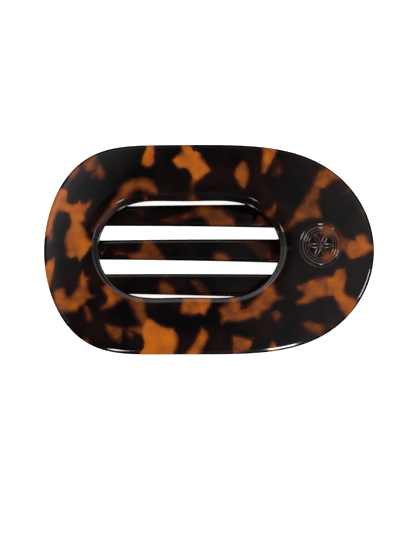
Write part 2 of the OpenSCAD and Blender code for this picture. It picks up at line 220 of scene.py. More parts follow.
PLATE_PATCHES = [
    # mouth end, from the far side round to the near side
    (0.62, [(-38.8, 20.3), (-38.0, 19.7), (-37.1, 19.8), (-36.3, 20.7), (-35.4, 22.0), (-35.5, 23.6)]),
    (0.52, [(-34.0, 24.0), (-31.2, 26.6), (-30.7, 25.6), (-31.1, 23.6), (-32.3, 21.8), (-33.3, 21.2),
            (-33.8, 22.4)]),
    (0.50, [(-32.0, 20.0), (-31.1, 21.5), (-30.1, 23.5), (-29.4, 22.9), (-28.6, 21.0), (-28.8, 19.9),
            (-29.8, 19.5), (-30.6, 20.1)]),
    (0.85, [(-42.0, 16.6), (-40.4, 17.0), (-38.5, 16.4), (-38.9, 12.9), (-37.2, 12.4), (-35.9, 12.6),
            (-35.3, 13.6), (-34.6, 12.6), (-33.4, 12.4), (-32.2, 13.4), (-32.5, 12.2), (-33.3, 10.9),
            (-33.9, 9.6), (-34.0, 8.4), (-34.9, 7.4), (-34.2, 5.9), (-33.5, 4.6), (-32.9, 3.0),
            (-31.6, 1.6), (-32.7, 0.2), (-33.8, -1.2), (-35.1, -3.0), (-36.0, -1.7), (-37.6, -2.2),
            (-38.6, -1.5), (-38.6, 0.3), (-39.1, 2.2), (-38.8, 4.4), (-37.8, 6.4), (-37.3, 8.0),
            (-38.2, 10.2), (-39.6, 10.5), (-41.1, 10.8), (-41.9, 9.0), (-42.5, 7.3), (-42.6, 5.6),
            (-43.2, 4.2), (-45.4, 3.3), (-46.5, 5.0), (-44.5, 12.0)]),
    (0.45, [(-43.2, 5.0), (-42.4, 4.6), (-42.6, 2.8), (-43.5, 1.8), (-43.8, 3.4)]),
    (0.92, [(-46.5, -5.0), (-44.6, -4.2), (-43.3, -2.9), (-42.0, -1.9), (-42.1, -4.3), (-42.4, -6.6),
            (-43.0, -8.5), (-43.2, -10.0), (-43.6, -11.4), (-45.5, -9.5)]),
    (0.62, [(-42.4, -11.9), (-41.3, -10.7), (-39.5, -10.4), (-38.9, -13.1), (-39.4, -15.6),
            (-41.4, -15.4)]),
    (0.66, [(-39.3, -12.9), (-37.8, -12.9), (-36.5, -11.4), (-35.3, -9.8), (-35.1, -7.8), (-34.4, -5.9),
            (-33.8, -7.3), (-32.7, -7.7), (-33.2, -8.5), (-33.0, -10.6), (-32.5, -12.2), (-31.3, -12.7),
            (-32.7, -13.0), (-33.4, -13.6), (-34.0, -14.9), (-35.2, -15.3), (-36.0, -16.5),
            (-38.0, -16.8), (-40.8, -16.7), (-41.2, -15.0)]),
    (0.36, [(-33.9, -15.2), (-33.1, -15.5), (-32.1, -17.0), (-31.6, -18.6), (-32.0, -19.4),
            (-33.2, -19.1), (-33.4, -17.4)]),
    (0.45, [(-34.2, -25.2), (-33.6, -24.0), (-32.8, -24.6), (-32.6, -26.0)]),
    # along the far side
    (0.46, [(-27.2, 11.2), (-26.4, 13.2), (-24.8, 15.0), (-24.4, 16.6), (-23.1, 18.1), (-21.0, 19.1),
            (-19.0, 19.5), (-17.0, 19.4), (-15.6, 18.9), (-14.7, 17.6), (-14.0, 16.1), (-14.3, 15.2),
            (-16.0, 15.3), (-17.2, 15.9), (-18.6, 16.7), (-20.3, 16.4), (-21.4, 15.4), (-22.6, 14.2),
            (-24.4, 12.8), (-26.0, 11.0), (-27.8, 8.9), (-29.6, 7.0), (-31.6, 5.2), (-29.8, 7.8)]),
    (0.18, [(-18.0, 15.0), (-16.5, 15.0), (-16.5, 13.0), (-17.7, 13.0)]),
    (0.95, [(-18.3, 23.6), (-18.1, 25.5), (-17.2, 27.4), (-16.9, 29.0), (-15.0, 29.0), (-15.1, 26.0),
            (-15.1, 24.0), (-15.9, 23.1), (-17.1, 22.8)]),
    (0.90, [(-7.6, 29.0), (-5.3, 29.0), (-4.6, 27.6), (-4.0, 26.8), (-3.4, 26.9), (-2.6, 26.3),
            (-2.2, 25.2), (-1.4, 24.3), (-0.8, 23.3), (-0.1, 22.5), (0.3, 21.6), (-0.8, 20.8),
            (-1.8, 19.8), (-3.0, 18.9), (-4.5, 18.9), (-4.8, 20.8), (-5.6, 21.9), (-6.7, 22.6),
            (-8.3, 22.4), (-9.2, 23.5), (-10.0, 24.5), (-9.6, 25.0), (-8.2, 25.9), (-7.0, 26.8)]),
    (0.33, [(-4.6, 19.6), (-3.0, 19.0), (-3.9, 18.0), (-4.4, 17.0), (-4.5, 15.8), (-3.6, 14.6),
            (-2.8, 13.0), (-6.5, 13.0), (-5.4, 14.8), (-4.9, 16.2), (-4.7, 18.0)]),
    (0.68, [(7.0, 21.2), (7.6, 22.5), (8.6, 23.7), (9.5, 24.1), (10.2, 23.3), (10.6, 21.6),
            (10.9, 20.4), (10.4, 18.6), (9.5, 16.9), (8.6, 17.5), (7.9, 18.8), (7.2, 20.0)]),
    (0.80, [(14.7, 29.0), (17.5, 29.0), (18.3, 27.4), (17.8, 25.6), (17.0, 23.8), (16.0, 22.2),
            (15.2, 21.1), (14.5, 21.3), (14.6, 23.4), (14.7, 26.0)]),
    (0.27, [(17.0, 20.3), (18.9, 20.1), (20.0, 21.4), (19.6, 23.0), (18.9, 24.2), (18.2, 23.0),
            (17.5, 21.4)]),
    # thumb pad
    (0.56, [(30.4, 21.6), (32.2, 22.6), (34.6, 21.2), (35.6, 19.6), (34.0, 19.1), (32.7, 18.0),
            (31.3, 17.0), (29.6, 16.8), (28.5, 17.2), (28.6, 18.6), (29.2, 20.4)]),
    (0.36, [(28.4, 17.4), (29.9, 16.5), (30.2, 14.8), (29.7, 13.4), (30.0, 11.5), (30.4, 10.0),
            (30.6, 8.7), (28.6, 8.6), (26.8, 8.4), (25.0, 7.9), (23.6, 7.0), (22.0, 5.9), (19.8, 4.8),
            (20.0, 5.7), (21.5, 7.1), (22.8, 8.6), (23.5, 10.2), (24.7, 11.9), (25.8, 13.5),
            (26.9, 15.3)]),
    (0.48, [(15.8, 9.2), (15.6, 10.5), (16.6, 11.0), (17.5, 12.0), (18.1, 12.8), (18.2, 11.6),
            (17.8, 10.3), (17.4, 9.2)]),
    (0.25, [(36.0, 15.3), (37.8, 17.0), (39.2, 16.8), (38.2, 15.7), (36.8, 15.1)]),
    (0.28, [(40.9, 10.3), (41.8, 12.0), (42.6, 10.9), (43.0, 9.6), (41.6, 9.5)]),
    (0.76, [(40.0, 3.8), (41.4, 4.3), (42.8, 3.7), (43.1, 2.6), (43.8, 1.6), (45.4, 1.3),
            (45.4, 0.1), (43.4, -0.3), (42.4, -1.4), (41.2, -1.8), (39.9, -2.0), (39.2, -2.5),
            (38.2, -2.3), (37.4, -1.0), (37.0, 0.6), (37.2, 2.0), (38.6, 2.7), (40.0, 2.1)]),
    (0.40, [(37.4, -0.8), (36.2, 0.1), (35.2, -0.7), (34.0, -1.9), (32.8, -2.8), (31.0, -3.2),
            (30.4, -2.0), (31.7, -0.7), (33.5, 0.0), (34.8, 0.9), (35.1, 2.0), (34.4, 3.1),
            (33.0, 3.8), (31.5, 3.5), (30.3, 4.3), (30.3, 6.8), (32.0, 7.4), (33.9, 6.6),
            (35.2, 5.1), (36.4, 3.4), (38.0, 2.6)]),
    (0.06, [(19.4, 1.2), (21.0, 0.9), (22.9, 0.4), (21.4, -0.1), (20.2, 0.1), (19.4, -1.0)]),
    (0.60, [(24.0, -10.0), (25.6, -9.5), (27.4, -8.5), (29.5, -7.7), (32.0, -7.4), (33.0, -9.6),
            (32.0, -12.4), (30.0, -12.9), (28.6, -13.4), (27.0, -14.4), (24.0, -14.9), (23.7, -14.1),
            (25.3, -13.0), (26.1, -12.2), (25.3, -11.2), (24.1, -10.6)]),
    (0.80, [(31.4, -7.5), (33.8, -7.3), (34.2, -6.1), (35.0, -5.2), (36.7, -5.2), (37.2, -7.5),
            (36.8, -9.4), (36.5, -11.0), (37.1, -12.2), (38.7, -13.3), (40.2, -13.2), (40.0, -14.6),
            (39.2, -16.8), (38.4, -18.4), (37.5, -18.8), (36.7, -17.4), (35.5, -15.7), (34.7, -13.9),
            (33.7, -12.5), (31.4, -12.4)]),
    (0.32, [(25.2, -19.9), (27.2, -19.3), (29.2, -20.2), (31.8, -20.2), (31.1, -21.8), (30.5, -23.6),
            (29.2, -23.0), (27.6, -22.4), (26.3, -21.5)]),
    (0.12, [(31.6, -20.2), (33.4, -20.3), (35.4, -20.6), (34.6, -21.6), (32.6, -21.2)]),
    # along the near side
    (0.55, [(2.8, -16.3), (4.5, -15.1), (5.6, -13.6), (6.0, -12.6), (7.8, -12.8), (8.5, -14.6),
            (8.3, -15.8), (9.0, -16.5), (10.4, -15.9), (11.6, -14.5), (13.2, -13.1), (14.2, -11.5),
            (15.0, -10.2), (17.5, -9.3), (18.0, -11.4), (18.5, -12.5), (20.0, -13.0), (18.2, -13.6),
            (17.3, -14.3), (16.5, -15.8), (15.4, -16.3), (14.3, -16.9), (13.4, -18.5), (11.6, -18.3),
            (9.8, -19.0), (7.8, -19.4), (5.0, -19.3), (3.5, -19.8), (3.5, -18.2), (3.3, -17.2)]),
    (0.24, [(16.8, -17.0), (18.6, -16.4), (19.9, -17.4), (19.7, -18.7), (18.8, -20.0), (17.7, -19.7),
            (17.3, -18.4)]),
    (0.75, [(17.3, -24.9), (16.3, -26.6), (15.6, -29.0), (18.9, -28.8), (18.6, -26.9), (18.0, -25.8)]),
    (0.62, [(6.3, -23.5), (8.2, -23.7), (10.0, -24.3), (11.9, -24.2), (11.4, -25.8), (10.7, -27.0),
            (8.8, -27.8), (6.7, -28.9), (6.5, -26.6), (6.7, -25.2)]),
    (0.72, [(-1.9, -21.3), (-0.6, -22.4), (-0.3, -23.7), (-1.1, -25.5), (-2.1, -27.2), (-2.7, -29.4),
            (-7.4, -29.4), (-5.7, -27.6), (-4.3, -25.8), (-3.1, -23.6)]),
    (0.76, [(-6.9, -12.8), (0.7, -12.8), (0.3, -15.2), (-0.5, -16.3), (-1.4, -17.6), (-2.6, -17.1),
            (-3.4, -17.5), (-4.8, -17.6), (-5.8, -17.1), (-7.4, -17.1), (-7.5, -15.8), (-7.1, -14.6)]),
    (0.32, [(-22.6, -12.6), (-18.0, -12.8), (-17.5, -14.5), (-17.3, -16.2), (-17.1, -18.4),
            (-16.4, -20.0), (-18.4, -20.8), (-18.7, -19.7), (-19.8, -18.2), (-20.9, -16.2),
            (-21.5, -14.6)]),
    (1.02, [(-17.2, -18.6), (-15.8, -19.1), (-13.6, -20.6), (-11.6, -21.3), (-9.9, -21.5),
            (-8.8, -23.0), (-8.5, -24.6), (-9.0, -26.6), (-9.6, -28.2), (-9.0, -29.4),
            (-19.4, -29.4), (-18.6, -28.0), (-17.7, -26.8), (-17.4, -25.2), (-17.8, -23.6),
            (-18.6, -22.6), (-18.4, -20.9)]),
    (0.42, [(-18.2, -20.6), (-20.8, -21.3), (-23.0, -21.5), (-21.5, -21.9), (-20.0, -22.4),
            (-18.2, -23.0), (-17.4, -22.0)]),
    (-0.02, [(-23.4, -21.6), (-20.6, -22.0), (-20.2, -23.4), (-20.8, -24.8), (-22.2, -23.6)]),
    (0.48, [(-27.8, -20.5), (-26.2, -20.8), (-23.3, -21.4), (-23.8, -23.2), (-24.3, -25.0),
            (-25.6, -24.3), (-26.9, -23.0), (-27.5, -21.8)]),
    (0.52, [(-28.9, -10.1), (-27.7, -9.4), (-26.2, -10.8), (-24.4, -12.1), (-22.6, -13.1),
            (-24.5, -13.7), (-25.8, -15.1), (-27.6, -15.8), (-29.1, -16.0), (-28.7, -15.2),
            (-27.6, -14.2), (-27.5, -12.8), (-28.4, -11.4)]),
]
JAW_PATCHES = [
    # far finger
    (0.15, [(-20.6, 12.4), (-19.0, 12.4), (-18.2, 10.6), (-17.4, 9.2), (-18.4, 9.0), (-19.4, 10.4)]),
    (0.36, [(-12.8, 8.0), (-9.8, 8.6), (-8.0, 8.9), (-6.0, 9.7), (-3.6, 10.6), (-3.4, 8.8),
            (-4.8, 8.8), (-7.4, 7.9), (-10.4, 7.5)]),
    (0.33, [(-4.6, 10.2), (-3.8, 12.2), (0.0, 12.2), (3.2, 11.3), (5.0, 10.3), (6.5, 8.6),
            (7.4, 6.0), (0.2, 6.0), (-0.8, 7.8), (-2.2, 9.2), (-3.6, 9.0)]),
    (0.12, [(12.2, 6.0), (16.0, 5.8), (16.6, 7.6), (14.8, 9.2), (13.6, 9.6), (12.6, 8.4)]),
    # middle finger
    (0.20, [(-30.3, -0.4), (-28.6, -0.2), (-28.4, -1.4), (-29.6, -1.7)]),
    (0.26, [(-18.8, 3.0), (-15.4, 2.8), (-14.1, 0.8), (-12.7, -1.0), (-11.4, -3.8), (-21.2, -3.8),
            (-22.4, -1.6), (-25.2, -1.6), (-26.4, -0.6), (-24.0, -0.4), (-21.4, -1.0), (-19.4, -0.4),
            (-18.6, 0.6)]),
    (0.30, [(0.8, -3.8), (1.3, -1.4), (2.6, -0.7), (4.1, -0.8), (5.3, -1.8), (6.2, -3.8)]),
    (0.00, [(9.6, 3.0), (13.8, 3.0), (15.4, 0.6), (17.6, -0.8), (19.6, -1.8), (19.6, -4.0),
            (14.8, -3.8), (13.2, -1.6), (11.6, 0.2), (10.2, 1.4)]),
    # near finger
    (0.08, [(-28.8, -6.8), (-26.6, -6.6), (-25.2, -9.0), (-26.8, -9.5), (-28.1, -8.2)]),
    (0.32, [(-13.0, -8.6), (-11.4, -9.0), (-10.0, -10.2), (-9.0, -12.0), (-8.2, -13.2), (-13.6, -13.0),
            (-13.7, -10.4)]),
    (0.22, [(-13.5, -6.6), (-11.0, -6.6), (-10.6, -7.5), (-12.0, -7.8)]),
    (0.06, [(-6.2, -8.2), (-3.2, -8.0), (-1.7, -9.3), (-0.3, -10.7), (1.2, -13.0), (-2.0, -13.2),
            (-3.5, -11.1), (-4.7, -9.6)]),
    # thumb tab
    (0.70, [(21.0, 14.4), (23.4, 13.6), (25.6, 11.6), (28.8, 10.0), (31.9, 9.2), (32.0, 7.2),
            (29.4, 6.6), (26.0, 7.4), (23.0, 8.6), (21.6, 11.0)]),
    (0.60, [(31.8, -3.6), (34.2, -1.0), (35.4, 2.0), (38.4, 4.2), (41.8, 6.0), (41.9, 3.6),
            (39.2, 0.8), (37.4, -2.0), (34.0, -4.8)]),
    (0.75, [(19.6, -6.4), (22.4, -5.6), (24.6, -8.4), (27.8, -9.6), (29.6, -12.4), (30.4, -15.6),
            (27.4, -14.4), (24.6, -12.6), (21.4, -9.8)]),
]


def gap_to(points, outline):
    """Distance of each point from a closed outline, positive inside it."""
    a = np.asarray(outline, float)
    run = np.roll(a, -1, 0) - a
    rel = points[:, None, :] - a[None]
    t = np.clip((rel * run).sum(2) / (run * run).sum(1), 0, 1)
    near = np.linalg.norm(rel - t[:, :, None] * run, axis=2).min(1)
    after_y = a[:, 1] + run[:, 1]
    above = (a[:, 1] > points[:, 1, None]) != (after_y > points[:, 1, None])
    with np.errstate(divide="ignore", invalid="ignore"):
        cross_x = a[:, 0] + (points[:, 1, None] - a[:, 1]) / run[:, 1] * run[:, 0]
    inside = (above & (points[:, 0, None] < cross_x)).sum(1) % 2 == 1
    return np.where(inside, near, -near)


def paint_amber(thing, points, patches):
    """Stores how far each point is from the edge of the nearest amber patch, in mm and negative
    inside it, and the tone of the patches near it. The patches are drawn as they are seen from
    VIEW_DISTANCE away, so higher points first move outwards and, as the view leans, to the far side."""
    points = np.asarray(points, float)
    rise = points[:, 2:] - SEEN_Z
    xy = points[:, :2] * (1 + rise / VIEW_DISTANCE) + rise * (0, tan(radians(VIEW_LEAN)))
    nearest = np.full(len(xy), TONE_REACH)
    weight = np.zeros(len(xy))
    tone_sum = np.zeros(len(xy))
    for tone, corners in patches:
        distance = -gap_to(xy, corners)
        nearest = np.minimum(nearest, distance)
        share = np.exp(-TONE_FADE * np.clip(distance, -TONE_DEPTH, TONE_REACH))
        weight += share
        tone_sum += tone * share
    for name, values in (("amber_edge", nearest), ("amber_tone", tone_sum / weight)):
        attribute = thing.data.attributes.new(name, "FLOAT", "POINT")
        attribute.data.foreach_set("value", values.astype(np.float32))


# ---------------------------------------------------------------- front plate

# Points round the plate, and steps across the flat of its top and of its underside
AROUND, MIDDLE_STEPS, UNDER_STEPS = 576, 34, 14


def oval(low_x, widest, high_x, half_w, swell, tuck):
    """Closed outline of an oval, anticlockwise from its +X end."""
    a = full_turn(AROUND)
    c = np.cos(a)
    x = widest + c * np.where(c > 0, high_x - widest, widest - low_x)
    return np.column_stack([x, half_w * np.sin(a) * (1 + swell * c ** 2 - tuck * c ** 4)])


def emblem_rings(build, hole):
    """Fills the hole in the plate's top face, a closed row of points, with the emblem's recess."""
    start = np.array([build.points[k] for k in hole])
    count = len(hole)
    centre = np.array([EMBLEM_X, EMBLEM_Y])
    first = np.arctan2(start[:, 1] - centre[1], start[:, 0] - centre[0])
    way = np.sign(np.sin(first[1] - first[0]))
    angle = first[0] + way * full_turn(count)
    angle += np.angle(np.exp(1j * (first - angle)).mean())
    tilt = asin(EMBLEM_X / PLATE_BOW_R)
    rim = EMBLEM_R + 0.35

    def on_plate(xy):
        return np.column_stack([xy, plate_top(xy[:, 0], xy[:, 1])])

    def in_recess(r, depth):
        u, v = r * np.cos(angle), r * np.sin(angle)
        x, y = EMBLEM_X + u * cos(tilt) - depth * sin(tilt), EMBLEM_Y + v
        floor_z = (PLATE_BOW_R - EMBLEM_DEPTH - x * sin(tilt)) / cos(tilt) - PLATE_BOW_R
        share = depth / EMBLEM_DEPTH
        return np.column_stack([x, y, plate_top(x, y) * (1 - share) + floor_z * share])

    last = hole
    outer = in_recess(rim, 0.0)
    for share in (0.2, 0.4, 0.6, 0.8):
        ring = build.add(on_plate(start[:, :2] * (1 - share) + outer[:, :2] * share))
        build.band(last, ring)
        last = ring
    floor = EMBLEM_DEPTH
    for r, depth in (
        (rim, 0.0), (rim - 0.12, 0.01), (rim - 0.22, 0.045), (rim - 0.30, 0.11), (EMBLEM_R, 0.19),
        (EMBLEM_R - 0.03, floor - 0.14), (EMBLEM_R - 0.09, floor - 0.06), (EMBLEM_R - 0.2, floor - 0.01),
        (EMBLEM_R - 0.35, floor), (4.4, floor), (3.0, floor), (1.5, floor),
    ):
        ring = build.add(in_recess(r, depth))
        build.band(last, ring)
        last = ring
    build.fan(last, build.add(in_recess(0.0, floor)[:1])[0])


# The rounded edges: distance in from the outline in mm, and the slope there in degrees. Pairs that lie
# close together are creases, with a second ring where a flat has to stay flat. The opening's edge ends
# in a low step, so its near and far profiles have the same number of pairs.
NEAR_OPENING_EDGE = [
    (0, 66), (0.08, 60), (0.38, 55), (0.42, 32), (0.61, 29.5), (0.8, 27), (1.2, 20), (1.22, 54),
    (1.3, 54), (1.35, 9), (1.8, 7), (2.5, 4.5), (3.4, 2), (4.4, 0),
]
FAR_OPENING_EDGE = [
    (0, 72), (0.08, 66), (0.16, 62), (0.2, 26), (0.24, 26), (1.1, 23), (2.0, 20), (2.02, 60),
    (2.07, 60), (2.13, 14), (2.7, 10), (3.4, 6), (4.2, 2.5), (5.0, 0),
]
OUTER_EDGE = [
    (0, 80), (0.03, 72), (0.08, 62), (0.14, 53), (0.2, 45), (0.5, 36.5), (0.8, 28), (0.82, 4),
    (0.86, 4), (1.8, 3), (2.8, 1.5), (4.2, 0),
]
UNDER_EDGE = [(0, 78), (0.05, 68), (0.15, 55), (0.3, 42), (0.5, 28), (0.7, 15), (1.0, 5), (1.6, 0)]
JAW_EDGE = [(0, 78), (0.05, 68), (0.12, 55), (0.5, 36), (0.55, 26), (0.95, 16), (0.97, 3), (1.4, 0)]
# How much nearer than in the CAD the opening's far edge is
FAR_EDGE_IN = 0.25


def plate_rows():
    """Rows of points round the plate, as one closed loop of rows over its section, and the numbers
    of the first and last row of the flat of the top face."""
    outer = oval(-LENGTH / 2, WIDEST_X, LENGTH / 2, WIDTH / 2, PLATE_SWELL, PLATE_TUCK)
    low_x, high_x = OPENING_X
    inner = oval(low_x, OPENING_WIDEST_X, high_x, OPENING_W / 2, OPENING_SWELL, OPENING_TUCK)
    from_outer, from_inner = inward(outer), inward(inner, -1.0)
    rows = []

    def row(xy, height):
        top, under = plate_top(*xy.T), plate_under(*xy.T)
        rows.append(np.column_stack([xy, (top + under) / 2 + (top - under) / 2 * height]))

    def face(side, opening_edge, outer_edge, middle_steps):
        """Inner edge, flat and outer edge of the top, side 1, or of the underside, side -1."""
        near = [(opening + from_inner * d, side * h) for d, h in zip(*opening_edge)]
        far = [(outer + from_outer * d, side * h) for d, h in zip(*outer_edge)]
        low, high = near[-1][0], far[-1][0]
        flat = [(low + (high - low) * k / middle_steps, side) for k in range(1, middle_steps)]
        return near + flat + far[::-1]

    half_t = PLATE_T / 2
    # the opening's edge changes from one profile to another between its near and far sides
    towards_far = (1 + np.sin(full_turn(AROUND))) / 2
    opening = inner.copy()
    opening[:, 1] -= FAR_EDGE_IN * towards_far ** 4
    near_d, near_h = edge_profile(NEAR_OPENING_EDGE, half_t)
    far_d, far_h = edge_profile(FAR_OPENING_EDGE, half_t)
    opening_edge = (
        [(n + (f - n) * towards_far)[:, None] for n, f in zip(near_d, far_d)],
        [n + (f - n) * towards_far for n, f in zip(near_h, far_h)],
    )
    outer_edge = edge_profile(OUTER_EDGE, half_t)
    under_edge = edge_profile(UNDER_EDGE, half_t)
    for xy, height in face(1, opening_edge, outer_edge, MIDDLE_STEPS):
        row(xy, height)
    # the underside's first and last rows are the top's too
    for xy, height in face(-1, under_edge, under_edge, UNDER_STEPS)[::-1][1:-1]:
        row(xy, height)
    first_flat = len(near_d) - 1
    return rows, first_flat, first_flat + MIDDLE_STEPS


def lug(build, side, y, toward, reach, bore_r):
    """One hinge lug on a side, 1 or -1, from y outwards: a disc round the pin on a web that flares into
    the sheet, above the pin with toward 1 or beneath it with -1."""
    y0, y1 = sorted((side * y, side * (y + LUG_T)))
    bevel, flare, foot, bore_bevel = 0.25, 1.1, 0.3, 0.15
    turns = np.linspace(-pi, 0, 25)
    disc = [(LUG_R * cos(a), LUG_R * sin(a)) for a in turns]
    flank = []
    for a in np.linspace(0, pi / 2, 7):
        flank.append((LUG_R + flare * (1 - cos(a)), reach - foot - flare + flare * sin(a)))
    flank.append((LUG_R + flare, reach))
    outline = np.array(disc + flank + [(-x, z) for x, z in flank[::-1]])
    outline[:, 1] *= toward
    if toward < 0:
        outline = outline[::-1]
    shrunk = outline + inward(outline) * bevel
    # the bore's points start where the outline's do, and run the same way round
    angle = np.unwrap(np.arctan2(outline[:, 1], outline[:, 0]))

    def ring(xz, y):
        return build.add([(HINGE_X + x, y, HINGE_Z + z) for x, z in xz])

    def bore(r, y):
        return ring(np.column_stack([r * np.cos(angle), r * np.sin(angle)]), y)

    build.loop([
        bore(bore_r + bore_bevel, y0), ring(shrunk, y0), ring(outline, y0 + bevel),
        ring(outline, y1 - bevel), ring(shrunk, y1), bore(bore_r + bore_bevel, y1),
        bore(bore_r, y1 - bore_bevel), bore(bore_r, y0 + bore_bevel),
    ])


def make_front_plate():
    build = Build()
    rows, first_flat, last_flat = plate_rows()
    numbers = [build.add(r) for r in rows]
    # the square of the top face that the emblem's recess takes the place of
    top = np.array(rows[first_flat:last_flat + 1])
    margin = 1.5
    reach = EMBLEM_R + margin
    across = np.abs(top[:, 0, 0] - EMBLEM_X)
    inside_rows = np.nonzero(across < reach)[0] + first_flat
    r0, r1 = inside_rows[0], inside_rows[-1]
    middle = rows[(r0 + r1) // 2]
    low = -int(np.sum((middle[AROUND // 2:, 0] > 0) & (middle[AROUND // 2:, 1] > EMBLEM_Y - reach)))
    high = int(np.sum((middle[:AROUND // 2, 0] > 0) & (middle[:AROUND // 2, 1] < EMBLEM_Y + reach)))
    columns = np.arange(low, high + 1) % AROUND
    inside = set(columns[:-1])
    for k in range(len(numbers)):
        this, after = numbers[k], numbers[(k + 1) % len(numbers)]
        for i in range(AROUND):
            if r0 <= k < r1 and i in inside:
                continue
            j = (i + 1) % AROUND
            build.faces.append((this[i], this[j], after[j], after[i]))
    hole = [numbers[r0][i] for i in columns]
    hole += [numbers[k][columns[-1]] for k in range(r0 + 1, r1 + 1)]
    hole += [numbers[r1][i] for i in columns[-2::-1]]
    hole += [numbers[k][columns[0]] for k in range(r1 - 1, r0, -1)]
    emblem_rings(build, np.array(hole))
    for side in (-1, 1):
        lug(build, side, OUTER_LUG_Y, 1, PLATE_LUG_REACH, PIN_R + PLATE_BORE_PLAY)
    plate = mesh_object("front_plate_shell", build.points, build.faces, "front")
    paint_amber(plate, build.points, PLATE_PATCHES)
    drop_loose(plate)
    return plate


def drop_loose(thing):
    """Removes points that no face uses."""
    work = bmesh.new()
    work.from_mesh(thing.data)
    bmesh.ops.delete(work, geom=[v for v in work.verts if not v.link_faces], context="VERTS")
    work.to_mesh(thing.data)
    work.free()


def make_emblem():
    """A plain disc in the recess, with rings and a rosette of six petals standing up from it."""
    build = Build()
    disc_r, outer_r, inner_r, petal_r, count = 5.42, 4.95, 4.2, 3.5, 252
    rise, step, beneath = 0.06, 0.07, -0.1
    a = full_turn(count)
    tilt = asin(EMBLEM_X / PLATE_BOW_R)
    petals = [(petal_r * cos(k * pi / 3), petal_r * sin(k * pi / 3)) for k in range(6)]

    def line(distance, half_w):
        return np.clip(1 - (np.abs(distance) / half_w) ** 2, 0, 1)

    def relief(r):
        """Height of the lines above the disc, all the way round at one radius."""
        u, v = r * np.cos(a), r * np.sin(a)
        height = np.full(count, 0.14 * line(r - outer_r, 0.26) + 0.09 * line(r - inner_r, 0.15))
        if r < petal_r + 0.12:
            arcs = [line(np.hypot(u - cx, v - cy) - petal_r, 0.17) for cx, cy in petals]
            height = np.maximum(height, 0.10 * np.max(arcs, axis=0))
        return np.maximum(height, 0.08 * line(r - petal_r, 0.13))

    def ring(r, up):
        u, v = r * np.cos(a), r * np.sin(a)
        out = PLATE_BOW_R - EMBLEM_DEPTH + up
        x = out * sin(tilt) + u * cos(tilt)
        z = out * cos(tilt) - PLATE_BOW_R - u * sin(tilt)
        return build.add(np.column_stack([x, EMBLEM_Y + v, z]))

    last = ring(disc_r, beneath)
    heights = [np.full(count, beneath)]
    rounded = [(disc_r, 0.0), (disc_r - 0.05, 0.05)]
    for r, up in rounded + [(r, rise) for r in np.arange(disc_r - 0.12, 0.05, -step)]:
        bump = relief(r)
        now = ring(r, up + bump)
        build.band(last, now)
        last = now
        heights.append(bump)
    build.fan(last, build.add([np.mean([build.points[k] for k in last], axis=0)])[0])
    heights = np.concatenate(heights + [heights[-1][:1]])
    build.faces.append(tuple(range(count)))
    emblem = mesh_object("emblem", build.points, build.faces, "front")
    paint_amber(emblem, build.points, PLATE_PATCHES)
    raised = emblem.data.attributes.new("raised", "FLOAT", "POINT")
    fully_raised = 0.09
    raised.data.foreach_set("value", np.clip(heights / fully_raised, 0, 1).astype(np.float32))
    return emblem


# ---------------------------------------------------------------- jaw

def line_points(a, b, step=0.9):
    """Points from a up to, but not at, b."""
    a, b = np.array(a, float), np.array(b, float)
    count = max(1, round(np.linalg.norm(b - a) / step))
    return [tuple(a + (b - a) * k / count) for k in range(count)]


def arc_points(centre, r, start, end, count):
    """Points on an arc, in degrees, without its last one."""
    return [(centre[0] + r * cos(radians(start + (end - start) * k / count)),
             centre[1] + r * sin(radians(start + (end - start) * k / count))) for k in range(count)]


# Where the ejector pins have left their marks on the fingers
EJECTOR_MARKS = ((11.0, 10.3), (11.0, -8.8), (-29.2, 0.1))
# Where the outer fingers' sides meet the tab's arc
CORNER_X = 14.0


def comb_outline():
    """The jaw's outline, anticlockwise from the near corner of the tab."""
    tip_r, slot_r = TIP_W / 2, 0.9
    root_x = SLOT_END_X - slot_r
    taper_l = SLOT_END_X + 1 - TIP_X - tip_r
    edge = (ROOT_W / 2 - tip_r) / taper_l
    drift = (ROOT_PITCH - TIP_PITCH) / taper_l

    def side_y(finger, side, x):
        run = x - TIP_X - tip_r
        return finger * (TIP_PITCH + drift * run) + side * (tip_r + edge * run)

    corner_y = side_y(1, 1, CORNER_X)
    corner = 180 - np.degrees(asin(corner_y / TAB_R))
    corner_x = TAB_X + TAB_R * cos(radians(corner))
    points = arc_points((TAB_X, 0), TAB_R, -corner, corner, 90)
    last = (corner_x, corner_y)
    for finger in (1, 0, -1):
        tip_y = finger * TIP_PITCH
        points += line_points(last, (TIP_X + tip_r, tip_y + tip_r))
        points += arc_points((TIP_X + tip_r, tip_y), tip_r, 90, 270, 16)
        if finger < 0:
            points += line_points((TIP_X + tip_r, tip_y - tip_r), (corner_x, -corner_y))
            break
        high, low = side_y(finger, -1, root_x), side_y(finger - 1, 1, root_x)
        points += line_points((TIP_X + tip_r, tip_y - tip_r), (root_x, high))
        points += arc_points((root_x, high - slot_r), slot_r, 90, 0, 6)
        points += line_points((SLOT_END_X, high - slot_r), (SLOT_END_X, low + slot_r))
        points += arc_points((root_x, low + slot_r), slot_r, 0, -90, 6)
        last = (root_x, low)
    return np.array(points)


def sheet_face(build, border, border_xy, height_of):
    """Fills the flat of the jaw inside its rounded edge with triangles, with points on a grid."""
    step = 1.0
    xs = np.arange(TIP_X, TAB_END_X, step)
    ys = np.arange(-TAB_R, TAB_R + step, step)
    grid = np.array([(x + (0.5 * step if j % 2 else 0), y) for j, y in enumerate(ys) for x in xs])
    grid = grid[gap_to(grid, border_xy) > 0.45]
    flat = [Vector(p) for p in np.vstack([border_xy, grid])]
    ring = list(range(len(border_xy)))
    found = delaunay_2d_cdt(flat, [], [ring], 1, 1e-6)
    origin = [o[0] for o in found[3]]
    new = build.add(np.column_stack([grid, height_of(*grid.T)]))
    numbers = np.concatenate([border, new])
    for triangle in found[2]:
        build.faces.append(tuple(numbers[origin[k]] for k in triangle))


